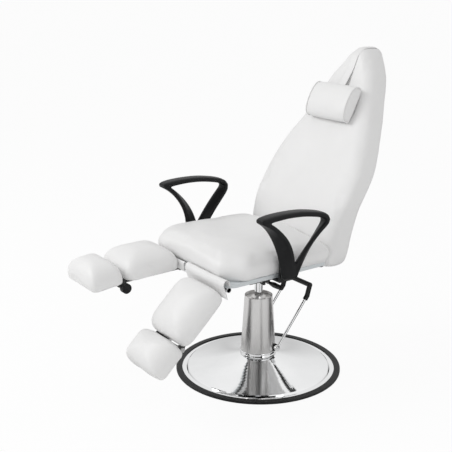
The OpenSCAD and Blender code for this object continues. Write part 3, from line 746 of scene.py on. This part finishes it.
def flap(side_name, x_range, rows_yz, sag):
    """A strip of vinyl from the seat's front edge to the back of a leg rest."""
    side = 1 if side_name == "left" else -1
    path = smooth_path([(0.0, y, z) for y, z in rows_yz], 44)
    bm = bmesh.new()
    grid = []
    columns = 34
    for j in range(columns + 1):
        u = j / columns
        x = x_range[0] + (x_range[1] - x_range[0]) * u
        line = []
        for i, (_, y, z) in enumerate(path):
            t = i / (len(path) - 1)
            wave = noise.noise(Vector((x * 22, t * 3, side))) * 0.0022 * math.sin(math.pi * t)
            drop = sag * math.sin(math.pi * u) * math.sin(math.pi * t)
            line.append(bm.verts.new((side * x, y - wave - drop * 0.4, z - drop)))
        grid.append(line)
    for a, b in zip(grid, grid[1:]):
        for k in range(len(a) - 1):
            bm.faces.new((a[k], a[k + 1], b[k + 1], b[k]))
    obj = make_object(side_name + "_hinge_flap_cover", bm, "vinyl")
    solid = obj.modifiers.new("thickness", "SOLIDIFY")
    solid.thickness = 0.0013
    solid.offset = 0
    apply_modifiers(obj)
    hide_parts(side_name + "_hinge_flap")
    return obj


ROLL = [(-0.2965, 0.4475), (-0.2975, 0.456), (-0.301, 0.464), (-0.308, 0.4695), (-0.3155, 0.468), (-0.3205, 0.461),
        (-0.3215, 0.452), (-0.318, 0.441), (-0.313, 0.428), (-0.309, 0.415), (-0.3065, 0.405)]
left_flap = flap("left", (0.014, 0.236), ROLL, 0.0015)
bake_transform(left_flap)
FOLD = [(-0.2965, 0.4475), (-0.2975, 0.452), (-0.300, 0.4585), (-0.3045, 0.4615), (-0.3085, 0.4585), (-0.3095, 0.449),
        (-0.3085, 0.438), (-0.307, 0.430)]
right_flap = flap("right", (0.010, 0.236), FOLD, 0.001)
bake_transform(right_flap)

# ---- stage ----


def make_stage():
    """A wide pale floor that the camera sees near white."""
    bm = bmesh.new()
    size = 90.0
    corners = [bm.verts.new((x, y, 0)) for x, y in ((-size, -size), (size, -size), (size, size), (-size, size))]
    bm.faces.new(corners)
    floor = make_object("floor", bm, None)
    material = bpy.data.materials.new("floor")
    material.use_nodes = True
    tree = material.node_tree
    shader = tree.nodes["Principled BSDF"]
    shader.inputs["Base Color"].default_value = grey(0.90)
    shader.inputs["Roughness"].default_value = 0.9
    w = Wire(tree)
    seen = w.node("ShaderNodeLightPath", out=0) * 0.93
    glow = w.node("ShaderNodeEmission", None, {"Color": grey(1.0), "Strength": 1.0})
    both = tree.nodes.new("ShaderNodeMixShader")
    tree.links.new(seen.out, both.inputs[0])
    tree.links.new(shader.outputs[0], both.inputs[1])
    tree.links.new(glow.out, both.inputs[2])
    tree.links.new(both.outputs[0], tree.nodes["Material Output"].inputs["Surface"])
    floor.data.materials.append(material)


def card(name, middle, towards, width, height, tone):
    """A flat card facing a point, which only reflections see."""
    bm = bmesh.new()
    bm.faces.new([bm.verts.new((u * width / 2, v * height / 2, 0)) for u, v in ((-1, -1), (1, -1), (1, 1), (-1, 1))])
    obj = make_object(name, bm, None)
    obj.location = middle
    if towards:
        obj.rotation_euler = (Vector(towards) - Vector(middle)).to_track_quat("Z", "Y").to_euler()
    material = bpy.data.materials.new(name)
    material.use_nodes = True
    shader = material.node_tree.nodes["Principled BSDF"]
    shader.inputs["Base Color"].default_value = grey(tone)
    shader.inputs["Roughness"].default_value = 1.0
    shader.inputs["Specular IOR Level"].default_value = 0.0
    obj.data.materials.append(material)
    obj.visible_camera = obj.visible_diffuse = obj.visible_shadow = False


card("card_above_camera", (2.1, -1.6, 2.9), (0, 0, 0.2), 3.6, 2.6, 0.003)
for turn, width, tone in ((-106, 0.36, 0.01), (-17, 0.09, 0.03), (66, 0.5, 0.01)):
    a = math.radians(turn)
    card("card_%d" % (turn % 360), (0.9 * math.cos(a), 0.9 * math.sin(a), 0.004), None, 1.1, width, tone)
    bpy.data.objects["card_%d" % (turn % 360)].rotation_euler = (0, 0, a)

make_stage()

world = bpy.data.worlds.new("studio")
bpy.context.scene.world = world
world.use_nodes = True
tree = world.node_tree
background = tree.nodes["Background"]
air = Wire(tree)
seen = air.node("ShaderNodeLightPath", out=0)
shine = air.node("ShaderNodeLightPath", out=3)
plain = air.node("ShaderNodeBackground", None, {"Color": grey(0.62), "Strength": 1.0})
height = air.node("ShaderNodeSeparateXYZ", None, {0: air.node("ShaderNodeTexCoord", out=0)}, 2)
stops = [(0.0, grey(0.70)), (0.12, grey(0.62)), (0.35, grey(0.86)), (0.8, grey(0.98))]
sky = air.node("ShaderNodeValToRGB", {"stops": stops}, {0: height})
open_sky = air.node("ShaderNodeMix", {"data_type": "RGBA"}, {0: seen, 6: sky, 7: grey(1.0)}, 2)
white = air.node("ShaderNodeBackground", None, {"Color": open_sky, "Strength": 1.0})
either = air.maths("MAXIMUM", seen, shine)
mix = tree.nodes.new("ShaderNodeMixShader")
tree.links.new(either.out, mix.inputs[0])
tree.links.new(plain.out, mix.inputs[1])
tree.links.new(white.out, mix.inputs[2])
tree.links.new(mix.outputs[0], tree.nodes["World Output"].inputs["Surface"])
tree.nodes.remove(background)


def lamp(name, spot, target, size, power):
    data = bpy.data.lights.new(name, "AREA")
    data.size = size
    data.energy = power
    obj = bpy.data.objects.new(name, data)
    bpy.context.collection.objects.link(obj)
    obj.location = spot
    obj.rotation_euler = (Vector(target) - Vector(spot)).to_track_quat("-Z", "Y").to_euler()


lamp("key_lamp", (-1.6, -3.0, 3.0), (0, 0, 0.6), 1.7, 62)
lamp("side_lamp", (3.4, -0.6, 2.2), (0, 0, 0.6), 1.8, 16)

bpy.context.scene.view_settings.view_transform = "Standard"
